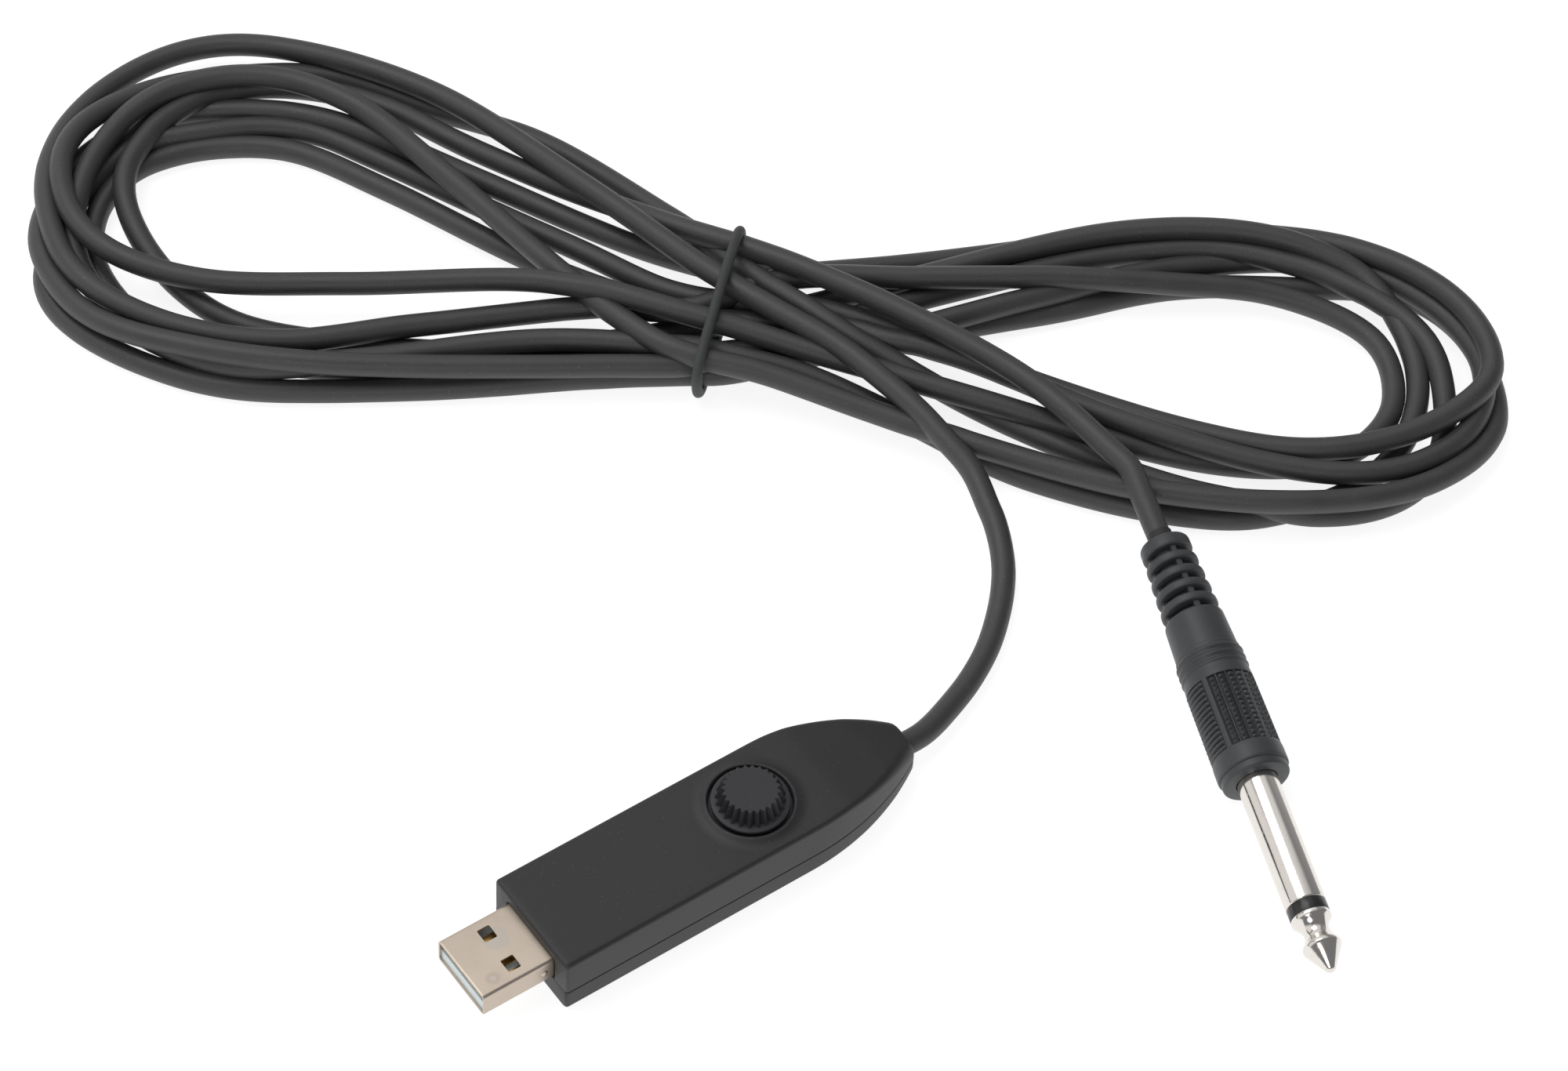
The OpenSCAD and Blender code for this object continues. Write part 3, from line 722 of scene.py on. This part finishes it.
stain = patch(tree, (-32.4, 1.9, 8.9), 2.2, 0.25)
spot = patch(tree, (-36.5, -3.8, 8.9), 0.55, 0.25)
halo = patch(tree, (-36.5, -3.8, 8.9), 1.0, 0.6)
tone = mixed(tree, cloud, (0.50, 0.42, 0.345), (0.60, 0.52, 0.44))
tone = mixed(tree, stain * 0.6, tone, (0.50, 0.475, 0.43))
tone = mixed(tree, halo * 0.4, tone, (0.38, 0.31, 0.26))
tone = mixed(tree, spot * 0.6, tone, (0.52, 0.49, 0.46))
connect(shader, Base_Color=tone, Roughness=0.3 + cloud * 0.12 + stain * 0.08 + brushed * 0.05,
        Normal=node(tree, "ShaderNodeBump", values={"Strength": 0.25, "Distance": 0.00002,
                                                    "Height": brushed + cloud * 2}))
plug.data.materials.clear()
plug.data.materials.append(nickel)


def paint(part, material):
    """Gives a part that stays as it was made its finish."""
    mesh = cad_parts[part].data
    mesh.materials.clear()
    mesh.materials.append(material)


tongue, tree, shader = finish("tongue_plastic", Specular_IOR_Level=0.5)
cloud = noise(tree, 700, 3)
connect(shader, Base_Color=mixed(tree, cloud, (0.62, 0.70, 0.71), (0.70, 0.77, 0.78)),
        Roughness=0.4 + cloud * 0.15)
paint("usb_tongue", tongue)
gold, tree, shader = finish("contact_gold", Metallic=1.0)
cloud = noise(tree, 900, 3)
connect(shader, Base_Color=mixed(tree, cloud, (0.83, 0.52, 0.16), (0.95, 0.66, 0.27)),
        Roughness=0.2 + cloud * 0.15)
paint("usb_contacts", gold)


# ------------------------------------------------------------- volume knob
# A moulded cone with sharp V grooves and a plain flat top, on a thin round
# flange, pressed on the shaft of the potentiometer.
KNOB_Z = 11.15
KNOB_H = 3.2
FLANGE_R = 5.95
TEETH = 24
KNOB_AROUND = TEETH * 12
turns = np.linspace(0, 2 * math.pi, KNOB_AROUND, endpoint=False)
teeth = np.abs((turns * TEETH / (2 * math.pi)) % 1 * 2 - 1)
grooved = []
for z, ridge, depth in ((0.62, 5.35, 0.95), (1.0, 5.22, 0.93), (1.6, 5.0, 0.87), (2.2, 4.79, 0.8),
                        (2.7, 4.6, 0.72), (3.0, 4.5, 0.66), (3.14, 4.43, 0.6), (KNOB_H, 4.33, 0.52)):
    grooved.append((KNOB_Z + z, ridge - depth * teeth))
cone = [(KNOB_Z + KNOB_H, np.full(KNOB_AROUND, 3.6)), (KNOB_Z + KNOB_H, np.full(KNOB_AROUND, 0.02))]
flange = [(KNOB_Z, 0.02), (KNOB_Z, FLANGE_R - 0.08), (KNOB_Z + 0.08, FLANGE_R),
          (KNOB_Z + 0.44, FLANGE_R), (KNOB_Z + 0.54, FLANGE_R - 0.06), (KNOB_Z + 0.6, FLANGE_R - 0.18)]
flange = [(z, np.full(KNOB_AROUND, r)) for z, r in flange]
knob = skin("knob_cap", turned(flange + grooved + cone, KNOB_AROUND, (KNOB_X, 0, 0)),
            body="knob", sharp=28)
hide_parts("volume_knob")
knob.data.materials.append(moulded("knob_plastic", (0.020, 0.0205, 0.0245), (0.027, 0.0275, 0.032), 0.44))


# ---------------------------------------------------------- jack's handle
# Strain relief and handle, moulded in soft vinyl: open rings on four webs, a
# plain cone, three thin beads, grips of studs and of ribs, and a front collar.
heading_turn = np.array([[math.cos(JACK_HEADING), -math.sin(JACK_HEADING), 0],
                         [math.sin(JACK_HEADING), math.cos(JACK_HEADING), 0], [0, 0, 1]])
tilt_turn = np.array([[math.cos(JACK_TILT), 0, math.sin(JACK_TILT)], [0, 1, 0],
                      [-math.sin(JACK_TILT), 0, math.cos(JACK_TILT)]])
jack_lay = heading_turn @ tilt_turn @ along_x
MOULDED_L = 43.9
REAR = -MOULDED_L
SHORTER = MOULDED_L / (HANDLE_L + RELIEF_L)
RELIEF_END = 22.0
RELIEF_AROUND = 112


def bump(value, centre, width):
    """One at the centre, falling smoothly to nought a width away."""
    return float(np.clip(1 - abs(value - centre) / width, 0, 1)) ** 0.5


web_turn = np.degrees(np.linspace(0, 2 * math.pi, RELIEF_AROUND, endpoint=False))
to_web = np.abs((web_turn - 176 + 45) % 90 - 45)
web = np.clip((9.5 - to_web) / 1.6, 0, 1)
relief_profile = []
SLOTS = 5
SLOT_PITCH = 2.82
SLOT_FIRST = 3.1
SLOT_HALF = 0.66
SLOT_FLOOR_R = 2.55
places = [0.0]
for i in range(SLOTS):
    slot_at = SLOT_FIRST + i * SLOT_PITCH
    for edge, inward in ((slot_at - SLOT_HALF, 1), (slot_at + SLOT_HALF, -1)):
        places += [edge - inward * d for d in (0.55, 0.36, 0.2, 0.09, 0.02, -0.02)]
places += [0.06, 0.18, 0.36, 0.6]
places += list(np.linspace(SLOT_FIRST + (SLOTS - 1) * SLOT_PITCH + SLOT_HALF + 0.8, RELIEF_END, 14))
for s in sorted(set(round(p, 4) for p in places)):
    plain = float(np.interp(s, (0, 3, 14, 16, 20, RELIEF_END), (3.95, 4.05, 4.6, 4.72, 4.9, 4.98)))
    nearest = round((s - SLOT_FIRST) / SLOT_PITCH)
    nearest = min(max(nearest, 0), SLOTS - 1)
    away = abs(s - SLOT_FIRST - nearest * SLOT_PITCH) - SLOT_HALF
    end_soft = 0.55 * (1 - math.sqrt(1 - (1 - min(s, 0.6) / 0.6) ** 2))
    if away < 0:
        radius = SLOT_FLOOR_R + (plain - 0.62 - SLOT_FLOOR_R) * web
    else:
        soft = 0.34 * (1 - math.sqrt(1 - (1 - min(away, 0.55) / 0.55) ** 2))
        radius = np.full(RELIEF_AROUND, plain - soft - end_soft)
    relief_profile.append((REAR + s * SHORTER, radius))
relief_profile = [(REAR, np.full(RELIEF_AROUND, 1.9))] + relief_profile
relief_profile.append((REAR + RELIEF_END * SHORTER, np.full(RELIEF_AROUND, 1.0)))
relief = skin("jack_relief", turned(relief_profile, RELIEF_AROUND, JACK_AT, jack_lay),
              sharp=48)
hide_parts("jack_strain_relief")

HANDLE_AROUND = 320
GRIP_START = 28.4
GRIP_END = 41.3
STUD_FACES = (165, 345)
RIB_FACES = (254, 74)
STUD_HALF = 50
RIB_HALF = 31
STUD_COLUMNS = 6
ROWS = 14
BEADS = (23.2, 24.5, 25.8)
face_turn = np.degrees(np.linspace(0, 2 * math.pi, HANDLE_AROUND, endpoint=False))
handle_profile = []
handle_places = [RELIEF_END - 0.02, RELIEF_END + 0.04, RELIEF_END + 0.14, RELIEF_END + 0.3]
handle_places += list(np.linspace(22.5, 28.2, 44))
handle_places += list(np.linspace(28.3, 41.4, 132))
handle_places += [41.6, 42.2, 43.0, 43.8, 44.2, 44.4, 44.5, 44.56, 44.6, 44.66, 44.8, 45.2, 45.6,
                  45.8, 45.92, 45.98, 46.0]
for s in handle_places:
    body = float(np.interp(s, (22, 22.12, 22.5, 26.6, 27.4, 28.4, 41.3, 41.8, 44.35, 44.55, 44.6, 45.7,
                               45.9, 46.0),
                           (4.98, 5.1, 5.18, 5.22, 5.3, 5.36, 5.5, 5.6, 5.62, 5.5, 5.3, 5.3, 5.2, 5.0)))
    for bead in BEADS:
        body += 0.2 * bump(s, bead, 0.3) - 0.14 * bump(s, bead - 0.62, 0.3)
    radius = np.full(HANDLE_AROUND, body)
    if GRIP_START < s < GRIP_END:
        share = (s - GRIP_START) / (GRIP_END - GRIP_START)
        row = share * ROWS % 1 * 2 - 1
        for face in STUD_FACES:
            off = (face_turn - face + 180) % 360 - 180
            inside = np.abs(off) < STUD_HALF
            column = (off + STUD_HALF) / (2 * STUD_HALF) * STUD_COLUMNS % 1 * 2 - 1
            stud = np.clip(1 - np.maximum(np.abs(column) / 0.78, abs(row)), 0, 1)
            between = np.clip((np.abs(column) - 0.8) / 0.08, 0, 1)
            radius = np.where(inside, body - 0.42 + 0.62 * stud + 0.34 * between * (1 - stud), radius)
        for face in RIB_FACES:
            off = (face_turn - face + 180) % 360 - 180
            edge = np.clip((RIB_HALF - np.abs(off)) / 7, 0, 1) ** 0.5
            inside = np.abs(off) < RIB_HALF
            bow = (off / RIB_HALF) ** 2 * 0.16
            wave = np.abs(np.sin((share * ROWS + bow) * math.pi)) ** 0.8
            radius = np.where(inside, body - 0.5 * np.clip(edge * 3, 0, 1)
                              + 0.66 * wave * edge, radius)
    handle_profile.append((REAR + s * SHORTER, radius))
handle_profile.append((0.0, np.full(HANDLE_AROUND, 3.3)))
handle_profile.append((-0.5, np.full(HANDLE_AROUND, 3.22)))
handle_profile.insert(0, (REAR + (RELIEF_END - 0.02) * SHORTER, np.full(HANDLE_AROUND, 1.0)))
handle = skin("jack_grip", turned(handle_profile, HANDLE_AROUND, JACK_AT, jack_lay),
              sharp=50)
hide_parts("jack_handle")
vinyl = moulded("handle_vinyl", (0.036, 0.039, 0.042), (0.050, 0.053, 0.056), 0.36, 3000, 0.00003)
relief.data.materials.append(vinyl)
handle.data.materials.append(vinyl)


# --------------------------------------------------------- jack's metal
# Turned brass plated with bright nickel: the sleeve, a black insulating ring,
# and the tip with its shoulder, waist and pointed bulb.
SLEEVE_R = 3.175
SLEEVE_L = 22.1
RING_L = 1.9
METAL_L = 33.4
METAL_AROUND = 72


def arc(z0, r0, z1, r1, hollow, count=8):
    """Points along a bowed run from one place on a profile to another."""
    share = np.linspace(0, 1, count)
    bow = hollow * np.sin(share * math.pi)
    return [(z0 + (z1 - z0) * s, r0 + (r1 - r0) * s - b) for s, b in zip(share, bow)]


sleeve_profile = [(-4, 2.6), (-4, SLEEVE_R), (SLEEVE_L - 0.22, SLEEVE_R), (SLEEVE_L - 0.1, SLEEVE_R - 0.03),
                  (SLEEVE_L - 0.02, SLEEVE_R - 0.12), (SLEEVE_L, SLEEVE_R - 0.25), (SLEEVE_L, 2.2)]
sleeve = skin("jack_barrel", turned(sleeve_profile, METAL_AROUND, JACK_AT, jack_lay),
              sharp=40)
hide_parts("jack_sleeve")
tip_from = SLEEVE_L + RING_L
ring_profile = [(SLEEVE_L - 0.1, 1.4), (SLEEVE_L - 0.1, 3.02), (SLEEVE_L + 0.08, 3.08),
                (tip_from - 0.08, 3.08), (tip_from + 0.1, 3.02), (tip_from + 0.1, 1.4)]
insulator = skin("jack_collar_ring", turned(ring_profile, METAL_AROUND, JACK_AT, jack_lay),
                 sharp=40)
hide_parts("jack_insulator_ring")
tip_profile = [(tip_from, 1.2), (tip_from, 2.95), (tip_from + 0.08, 3.05), (tip_from + 0.2, 3.08),
               (tip_from + 0.75, 3.08), (tip_from + 0.88, 3.0)]
tip_profile += arc(tip_from + 0.95, 2.92, tip_from + 3.1, 1.98, 0.3, 12)[1:]
tip_profile += arc(tip_from + 3.1, 1.98, tip_from + 4.75, 2.86, 0.16, 9)[1:]
tip_profile += [(tip_from + 5.0, 2.98), (tip_from + 5.25, 3.03), (tip_from + 5.5, 2.99),
                (tip_from + 5.75, 2.86), (METAL_L - 0.35, 0.82), (METAL_L - 0.18, 0.7),
                (METAL_L - 0.05, 0.5), (METAL_L, 0.2), (METAL_L, 0.02)]
tip = skin("jack_point", turned(tip_profile, METAL_AROUND, JACK_AT, jack_lay), sharp=60)
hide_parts("jack_tip")

bright, tree, shader = finish("jack_nickel", Metallic=1.0)
cloud = noise(tree, 420, 4, 0.6)
specks = noise(tree, 1900, 2)
pitted = (specks > 0.66) * 0.35
connect(shader, Base_Color=mixed(tree, pitted, mixed(tree, cloud, (0.70, 0.665, 0.62), (0.78, 0.75, 0.71)),
                                 (0.70, 0.60, 0.50)),
        Roughness=0.1 + cloud * 0.07 + pitted * 0.3,
        Normal=node(tree, "ShaderNodeBump", values={"Strength": 0.12, "Distance": 0.00002,
                                                    "Height": cloud + specks}))
for piece in (sleeve, tip):
    piece.data.materials.append(bright)
black, tree, shader = finish("insulator_black", Specular_IOR_Level=0.5)
cloud = noise(tree, 800, 3)
connect(shader, Base_Color=mixed(tree, cloud, (0.010, 0.010, 0.011), (0.020, 0.020, 0.021)),
        Roughness=0.22 + cloud * 0.1)
insulator.data.materials.append(black)


# ------------------------------------------------- inside the two mouldings
# The board with its parts and the potentiometer, the clamped end of the cord,
# and the wires, washers and mould inside the jack. They stay as they were made.
inside = [
    ("circuit_board", (0.010, 0.075, 0.030), (0.020, 0.110, 0.045), 0.35, 0.0, 600),
    ("codec_chip", (0.012, 0.012, 0.013), (0.022, 0.022, 0.024), 0.55, 0.0, 900),
    ("clock_crystal", (0.55, 0.55, 0.54), (0.68, 0.68, 0.66), 0.25, 1.0, 500),
    ("chip_capacitors", (0.36, 0.24, 0.12), (0.48, 0.34, 0.18), 0.6, 0.0, 900),
    ("chip_resistors", (0.014, 0.014, 0.016), (0.030, 0.030, 0.032), 0.5, 0.0, 900),
    ("pot_body", (0.035, 0.055, 0.12), (0.05, 0.075, 0.15), 0.45, 0.0, 500),
    ("pot_lid", (0.42, 0.43, 0.44), (0.56, 0.57, 0.58), 0.3, 1.0, 500),
    ("pot_wiper", (0.70, 0.48, 0.18), (0.80, 0.58, 0.26), 0.3, 1.0, 500),
    ("pot_shaft", (0.34, 0.34, 0.35), (0.44, 0.44, 0.45), 0.35, 1.0, 500),
    ("cord_clamp", (0.03, 0.032, 0.036), (0.045, 0.047, 0.05), 0.5, 0.0, 700),
    ("housing_jacket_end", (0.019, 0.019, 0.020), (0.034, 0.033, 0.035), 0.6, 0.0, 900),
    ("housing_core_wires", (0.40, 0.03, 0.02), (0.50, 0.05, 0.03), 0.4, 0.0, 900),
    ("housing_screen_tail", (0.50, 0.24, 0.12), (0.66, 0.34, 0.18), 0.35, 1.0, 1500),
    ("solder_joints", (0.50, 0.51, 0.52), (0.64, 0.65, 0.66), 0.25, 1.0, 900),
    ("jack_inner_mould", (0.70, 0.66, 0.56), (0.80, 0.76, 0.66), 0.5, 0.0, 500),
    ("jack_jacket_end", (0.019, 0.019, 0.020), (0.034, 0.033, 0.035), 0.6, 0.0, 900),
    ("jack_core_wire", (0.40, 0.03, 0.02), (0.50, 0.05, 0.03), 0.4, 0.0, 900),
    ("jack_screen_wire", (0.50, 0.24, 0.12), (0.66, 0.34, 0.18), 0.35, 1.0, 1500),
    ("jack_sleeve_lug", (0.56, 0.50, 0.38), (0.66, 0.60, 0.48), 0.3, 1.0, 600),
    ("jack_insulator_tube", (0.012, 0.012, 0.013), (0.022, 0.022, 0.024), 0.45, 0.0, 600),
    ("jack_rear_washer", (0.66, 0.60, 0.44), (0.76, 0.70, 0.54), 0.6, 0.0, 600),
    ("jack_tip_rod", (0.62, 0.58, 0.52), (0.74, 0.70, 0.64), 0.25, 1.0, 600),
    ("jack_tip_terminal", (0.56, 0.50, 0.38), (0.66, 0.60, 0.48), 0.3, 1.0, 600),
]
for part, dark, light, rough, metal, scale in inside:
    made, tree, shader = finish(part + "_finish", Metallic=metal)
    cloud = noise(tree, scale, 3)
    connect(shader, Base_Color=mixed(tree, cloud, dark, light), Roughness=rough + cloud * 0.12)
    paint(part, made)
